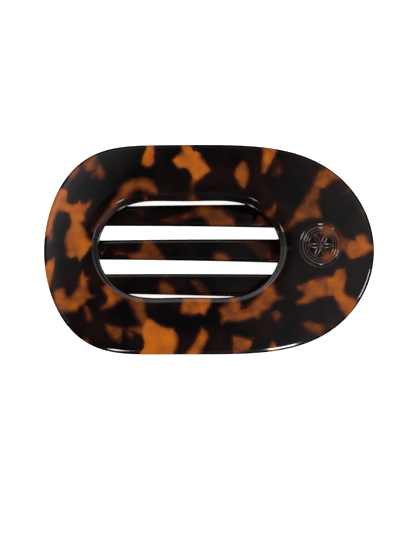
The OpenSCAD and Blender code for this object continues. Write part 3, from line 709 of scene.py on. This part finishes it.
def make_comb_jaw():
    build = Build()
    outline = comb_outline()
    inwards = inward(outline)
    distance, height = edge_profile(JAW_EDGE, JAW_T / 2)
    rows = []

    def row(d, h):
        xy = outline + inwards * d
        top, under = jaw_top(*xy.T), jaw_under(*xy.T)
        rows.append(build.add(np.column_stack([xy, (top + under) / 2 + (top - under) / 2 * h])))
        return xy

    for d, h in list(zip(distance, height))[::-1]:
        row(d, -h)
    for d, h in list(zip(distance, height))[1:]:
        flat_xy = row(d, h)
    for low, high in zip(rows, rows[1:]):
        build.band(low, high)
    sheet_face(build, rows[-1], flat_xy, jaw_top)
    sheet_face(build, rows[0], flat_xy, jaw_under)
    for side in (-1, 1):
        lug(build, side, INNER_LUG_Y, -1, JAW_LUG_REACH, PIN_R + JAW_BORE_PLAY)
    for x, y in EJECTOR_MARKS:
        ejector_mark(build, x, y)
    slid = np.array(build.points) + (0, JAW_SLIDE, 0)
    jaw = mesh_object("comb_jaw_shell", slid, build.faces, "jaw")
    paint_amber(jaw, build.points, JAW_PATCHES)
    return jaw


def ejector_mark(build, x, y):
    """The faint round witness of an ejector pin: a low ring on a finger's top face."""
    mark_r, half_w, rise, around = 0.9, 0.09, 0.045, full_turn(32)
    rings = []
    for b in full_turn(8):
        r = mark_r + half_w * cos(b)
        px, py = x + r * np.cos(around), y + r * np.sin(around)
        rings.append(build.add(np.column_stack([px, py, jaw_top(px, py) + rise * sin(b)])))
    build.loop(rings)


# ---------------------------------------------------------------- pin and spring

def make_pin():
    build = Build()
    half = OUTER_LUG_Y + LUG_T + PIN_PROUD
    around = full_turn(48)
    # y and radius over one rounded end, then the same at the other
    profile = [(-half, 0.62), (-half + 0.03, 0.78), (-half + 0.12, 0.92), (-half + 0.28, PIN_R)]
    profile += [(-y, r) for y, r in profile[::-1]]
    rings = []
    for y, r in profile:
        rings.append(build.add([(HINGE_X + r * cos(a), y, HINGE_Z + r * sin(a)) for a in around]))
    build.tube(rings)
    return mesh_object("hinge_pin_turned", build.points, build.faces, "front")


def spring_path():
    """Middle line of the wire: leg on the plate, coil round the pin, leg on the jaw."""
    end_x, room = HINGE_X + LEG_L, WIRE_D / 2 + LEG_GAP
    per_turn, per_leg = 30, 8
    steps = int(COIL_TURNS * per_turn)
    coil = []
    for i in range(steps + 1):
        a = pi / 2 + 2 * pi * i / per_turn
        coil.append((HINGE_X + COIL_R * cos(a), COIL_W * (0.5 - i / steps), HINGE_Z + COIL_R * sin(a)))
    on_plate = np.array([end_x, COIL_W / 2, plate_under(end_x) - room])
    on_jaw = np.array([end_x, -COIL_W / 2, jaw_top(end_x) + room])
    coil_start, coil_end = np.array(coil[0]), np.array(coil[-1])
    first = [on_plate + (coil_start - on_plate) * k / per_leg for k in range(per_leg)]
    last = [coil_end + (on_jaw - coil_end) * k / per_leg for k in range(1, per_leg + 1)]
    return np.array([tuple(p) for p in first + coil + last])


def make_spring():
    build = Build()
    path = spring_path()
    around = full_turn(14)
    # short cones round off the two cut ends
    ahead = np.gradient(path, axis=0)
    ahead /= np.linalg.norm(ahead, axis=1, keepdims=True)
    stations = [(path[0], ahead[0], 0.7), (path[0] + ahead[0] * 0.1, ahead[0], 1.0)]
    stations += [(p, t, 1.0) for p, t in zip(path[1:-1], ahead[1:-1])]
    stations += [(path[-1] - ahead[-1] * 0.1, ahead[-1], 1.0), (path[-1], ahead[-1], 0.7)]
    rings = []
    for p, t, share in stations:
        out = np.cross(t, (0, 1, 0))
        out /= np.linalg.norm(out)
        side = np.cross(out, t)
        r = WIRE_D / 2 * share
        rings.append(build.add([p + r * (out * cos(a) + side * sin(a)) for a in around]))
    build.tube(rings)
    spring = mesh_object("torsion_spring_wire", build.points, build.faces)
    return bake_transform(spring)


# ---------------------------------------------------------------- materials

def srgb(r, g, b):
    """A colour given in 8-bit sRGB, as linear values."""
    def linear(v):
        v /= 255
        return v / 12.92 if v <= 0.04045 else ((v + 0.055) / 1.055) ** 2.4
    return linear(r), linear(g), linear(b), 1.0


# The dark plastic, its glow beside a patch, the patches from deep to bright, and the emblem's lines
BLACK, DARK_BROWN, GLOW = srgb(4, 4, 5), srgb(22, 10, 9), srgb(48, 18, 10)
DEEP_AMBER, MID_AMBER, BRIGHT_AMBER = srgb(38, 15, 8), srgb(104, 50, 17), srgb(184, 94, 13)
RAISED_LINE, WORN_STEEL = srgb(84, 60, 52), srgb(150, 148, 146)


class Nodes:
    """Short names for the nodes of a material or a world, and the shader that it starts with."""

    def __init__(self, owner, shader="Principled BSDF"):
        owner.use_nodes = True
        self.owner, self.tree = owner, owner.node_tree
        self.shader = self.tree.nodes[shader]

    def new(self, kind, **settings):
        node = self.tree.nodes.new(kind)
        for key, value in settings.items():
            setattr(node, key, value)
        return node

    def put(self, value, socket):
        """Links an output to a socket, or sets the socket's own value."""
        if isinstance(value, bpy.types.NodeSocket):
            self.tree.links.new(value, socket)
        else:
            socket.default_value = value

    def math(self, operation, a, b):
        node = self.new("ShaderNodeMath", operation=operation)
        self.put(a, node.inputs[0])
        self.put(b, node.inputs[1])
        return node.outputs[0]

    def steps(self, value, low, high, to_low=0.0, to_high=1.0, smooth=True):
        """Maps value from low..high to to_low..to_high."""
        node = self.new("ShaderNodeMapRange", interpolation_type="SMOOTHSTEP" if smooth else "LINEAR")
        for item, socket in zip((value, low, high, to_low, to_high), node.inputs):
            self.put(item, socket)
        return node.outputs[0]

    def mix(self, share, a, b):
        node = self.new("ShaderNodeMix", data_type="RGBA")
        for item, socket in zip((share, a, b), (node.inputs[0], node.inputs[6], node.inputs[7])):
            self.put(item, socket)
        return node.outputs[2]

    def attribute(self, name):
        return self.new("ShaderNodeAttribute", attribute_name=name).outputs["Fac"]

    def millimetres(self, shift=(0, 0, 0)):
        """Object coordinates in millimetres."""
        mapping = self.new("ShaderNodeMapping")
        mapping.inputs["Scale"].default_value = (1 / MM, 1 / MM, 1 / MM)
        mapping.inputs["Location"].default_value = shift
        self.tree.links.new(self.new("ShaderNodeTexCoord").outputs["Object"], mapping.inputs[0])
        return mapping.outputs[0]

    def noise(self, where, size, detail=2.0, roughness=0.5):
        """Noise whose blotches are about size millimetres across, from 0 to 1."""
        node = self.new("ShaderNodeTexNoise")
        self.put(where, node.inputs["Vector"])
        node.inputs["Scale"].default_value = 1 / size
        node.inputs["Detail"].default_value = detail
        node.inputs["Roughness"].default_value = roughness
        return node.outputs["Fac"]


def tortoiseshell(name, shine, raised=False):
    """Polished dark brown plastic with ragged amber patches, paler on the emblem's raised lines."""
    n = Nodes(bpy.data.materials.new(name))
    where = n.millimetres()
    wander = n.math("MULTIPLY", n.math("SUBTRACT", n.noise(where, 1.7, 2.0), 0.5), 0.5)
    ragged = n.math("MULTIPLY", n.math("SUBTRACT", n.noise(where, 0.5, 3.0, 0.65), 0.5), 0.8)
    edge = n.math("ADD", n.math("ADD", n.attribute("amber_edge"), wander), ragged)
    # some edges are crisp and others fade out
    fade = n.steps(n.noise(n.millimetres((31, 7, 3)), 7.0), 0.42, 0.66, 0.10, 0.60)
    inside = n.steps(edge, fade, n.math("MULTIPLY", fade, -1.0))
    # smoke within the amber, and a darker skin along its edges
    cloud = n.math("SUBTRACT", n.noise(n.millimetres((5, 40, 9)), 3.4, 3.0), 0.5)
    skin = n.steps(edge, -1.2, 0.2, 0.08, -0.28)
    tone = n.math("ADD", n.math("ADD", n.attribute("amber_tone"), n.math("MULTIPLY", cloud, 1.1)), skin)
    brown = n.mix(n.steps(tone, 0.0, 0.5, smooth=False), DEEP_AMBER, MID_AMBER)
    amber = n.mix(n.steps(tone, 0.5, 1.25, smooth=False), brown, BRIGHT_AMBER)
    dark_cloud = n.steps(n.noise(n.millimetres((17, 3, 22)), 9.0, 3.0), 0.35, 0.7)
    dark = n.mix(dark_cloud, BLACK, DARK_BROWN)
    # beside all but the faintest patches the dark plastic glows a little
    glow = n.math("MULTIPLY", n.steps(edge, 0.9, 0.1), n.steps(n.attribute("amber_tone"), 0.15, 0.5))
    fringe = n.mix(glow, dark, GLOW)
    colour = n.mix(inside, fringe, amber)
    if raised:
        colour = n.mix(n.math("MULTIPLY", n.attribute("raised"), 0.6), colour, RAISED_LINE)
    n.put(colour, n.shader.inputs["Base Color"])
    roughness = n.steps(n.noise(where, 12.0, 2.0), 0.3, 0.7, 0.07, 0.13)
    n.put(roughness, n.shader.inputs["Roughness"])
    n.shader.inputs["IOR"].default_value = 1.5
    n.shader.inputs["Specular IOR Level"].default_value = shine
    polish = n.new("ShaderNodeBump")
    polish.inputs["Strength"].default_value = 0.06
    polish.inputs["Distance"].default_value = 0.0002
    n.put(n.noise(where, 5.0, 2.0), polish.inputs["Height"])
    n.put(polish.outputs[0], n.shader.inputs["Normal"])
    return n.owner


def steel(name, colour, roughness, draw_marks):
    """Bare steel with fine marks from drawing, and a little unevenness in its shine."""
    n = Nodes(bpy.data.materials.new(name))
    where = n.millimetres()
    worn = n.noise(where, 0.9, 4.0)
    n.put(n.mix(n.steps(worn, 0.35, 0.7), colour, WORN_STEEL), n.shader.inputs["Base Color"])
    n.put(n.steps(worn, 0.3, 0.7, roughness, roughness + 0.14), n.shader.inputs["Roughness"])
    n.shader.inputs["Metallic"].default_value = 1.0
    marks = n.new("ShaderNodeBump")
    marks.inputs["Strength"].default_value = draw_marks
    marks.inputs["Distance"].default_value = 0.00002
    n.put(n.noise(where, 0.12, 3.0), marks.inputs["Height"])
    n.put(marks.outputs[0], n.shader.inputs["Normal"])
    return n.owner


# ---------------------------------------------------------------- pieces

def finish_piece(thing, material, node=None):
    """Gives a piece its material, and puts it in place of a CAD node, which it hides."""
    thing.data.materials.append(material)
    if node:
        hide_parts(node)


plate_shell = tortoiseshell("tortoiseshell", shine=0.5)
# The jaw's copy of the plastic shines less. This is painted shade: weaker reflections on the fingers
# that lie beneath the plate.
shaded_jaw_shell = tortoiseshell("tortoiseshell_jaw_shaded", shine=0.35)
emblem_shell = tortoiseshell("tortoiseshell_emblem", shine=0.3, raised=True)
pin_steel = steel("pin_steel", srgb(196, 196, 200), roughness=0.24, draw_marks=0.3)
spring_steel = steel("spring_steel", srgb(214, 214, 218), roughness=0.12, draw_marks=0.12)

finish_piece(make_front_plate(), plate_shell, "front_plate")
finish_piece(make_comb_jaw(), shaded_jaw_shell, "comb_jaw")
finish_piece(make_emblem(), emblem_shell)
finish_piece(make_pin(), pin_steel, "hinge_pin")
finish_piece(make_spring(), spring_steel, "torsion_spring")


# ---------------------------------------------------------------- floor, light and camera

def lamp(name, azimuth, elevation, distance, size, radiance, glossy=True, diffuse=True):
    """A soft rectangular lamp that faces the clip: azimuth anticlockwise from +X and elevation in
    degrees, distance and size across and up in metres, and the brightness of its face."""
    data = bpy.data.lights.new(name, "AREA")
    data.shape = "RECTANGLE"
    data.size, data.size_y = size
    data.energy = radiance * pi * size[0] * size[1]
    thing = bpy.data.objects.new(name, data)
    bpy.context.scene.collection.objects.link(thing)
    az, el = radians(azimuth), radians(elevation)
    middle = Vector((0, 0, 0.01))
    out = Vector((cos(el) * cos(az), cos(el) * sin(az), sin(el))) * distance
    thing.location = middle + out
    thing.rotation_euler = (-out).to_track_quat("-Z", "Y").to_euler()
    thing.visible_glossy = glossy
    thing.visible_diffuse = diffuse
    thing.visible_camera = False


def make_floor():
    data = bpy.data.meshes.new("floor")
    half = 3.0
    corners = [(-half, -half, 0), (half, -half, 0), (half, half, 0), (-half, half, 0)]
    data.from_pydata(corners, [], [(0, 1, 2, 3)])
    floor = bpy.data.objects.new("floor", data)
    bpy.context.scene.collection.objects.link(floor)
    n = Nodes(bpy.data.materials.new("pale_floor"))
    n.shader.inputs["Base Color"].default_value = (0.9, 0.9, 0.9, 1)
    n.shader.inputs["Roughness"].default_value = 0.9
    n.shader.inputs["Emission Color"].default_value = (1, 1, 1, 1)
    n.shader.inputs["Emission Strength"].default_value = 0.84
    data.materials.append(n.owner)
    floor.visible_glossy = False


def make_world():
    """Dim studio walls above a darker ground, lighter towards the thumb pad and, low down, towards the
    mouth. The camera sees them as a pale backdrop."""
    n = Nodes(bpy.data.worlds.new("studio"), "Background")
    looking = n.new("ShaderNodeTexCoord").outputs["Generated"]

    def ramp(direction, low, high, to_low, to_high):
        """A brightness that rises the further one looks along a direction."""
        along = n.new("ShaderNodeVectorMath", operation="DOT_PRODUCT")
        n.put(looking, along.inputs[0])
        n.put(direction, along.inputs[1])
        return n.steps(along.outputs["Value"], low, high, to_low, to_high)

    thumb_wall = ramp((1, -0.25, 0), -0.1, 0.5, 0.03, 0.32)
    mouth_wall = ramp((-1, 0.5, 0), 0.5, 0.8, 0.0, 0.6)
    ground = ramp((0, 0, 1), 0.0, 0.2, 0.1, 1.0)
    level = n.math("MULTIPLY", n.math("ADD", thumb_wall, mouth_wall), ground)
    from_camera = n.new("ShaderNodeLightPath").outputs["Is Camera Ray"]
    n.put(n.steps(from_camera, 0.0, 1.0, level, 1.0, smooth=False), n.shader.inputs["Strength"])
    n.put((1, 1, 1, 1), n.shader.inputs["Color"])
    bpy.context.scene.world = n.owner


make_floor()
make_world()
lamp("overhead", 90, 89, 2.0, (4.0, 4.0), 1.75, glossy=False)
lamp("back_card", 90, 36, 0.7, (1.3, 0.36), 1.25, diffuse=False)
lamp("left_card", 150, 30, 0.7, (0.5, 0.30), 0.9, diffuse=False)
lamp("right_card", 33, 36, 0.7, (0.45, 0.36), 1.4, diffuse=False)
lamp("front_left_strip", 245, 20, 0.6, (0.06, 0.30), 30, diffuse=False)
lamp("front_right_strip", 290, 20, 0.6, (0.12, 0.30), 30, diffuse=False)
lamp("thumb_strip", 347, 20, 0.6, (0.16, 0.16), 24, diffuse=False)
lamp("right_rim_strip", 198, 33, 0.6, (0.07, 0.04), 22, diffuse=False)


def make_camera():
    """A long lens square to the plate's length, leaning to the near side. The field's height and the
    point it aims at are in mm."""
    lean, field_h, aim = radians(VIEW_LEAN), 145.05, (-0.28, -5.79, 0.0)
    data = bpy.data.cameras.new("camera")
    data.sensor_fit = "VERTICAL"
    data.sensor_height = 36.0
    data.lens = data.sensor_height * VIEW_DISTANCE / field_h
    data.clip_start, data.clip_end = 0.05, 10.0
    camera = bpy.data.objects.new("camera", data)
    bpy.context.scene.collection.objects.link(camera)
    back = turn((0, -sin(lean), cos(lean)))
    right = turn((1, 0, 0))
    up = back.cross(right)
    target = Vector(place([aim])[0])
    turned = Matrix((right, up, back)).transposed().to_4x4()
    camera.matrix_world = Matrix.Translation(target + back * VIEW_DISTANCE * MM) @ turned
    bpy.context.scene.camera = camera


make_camera()
bpy.context.scene.view_settings.view_transform = "Standard"
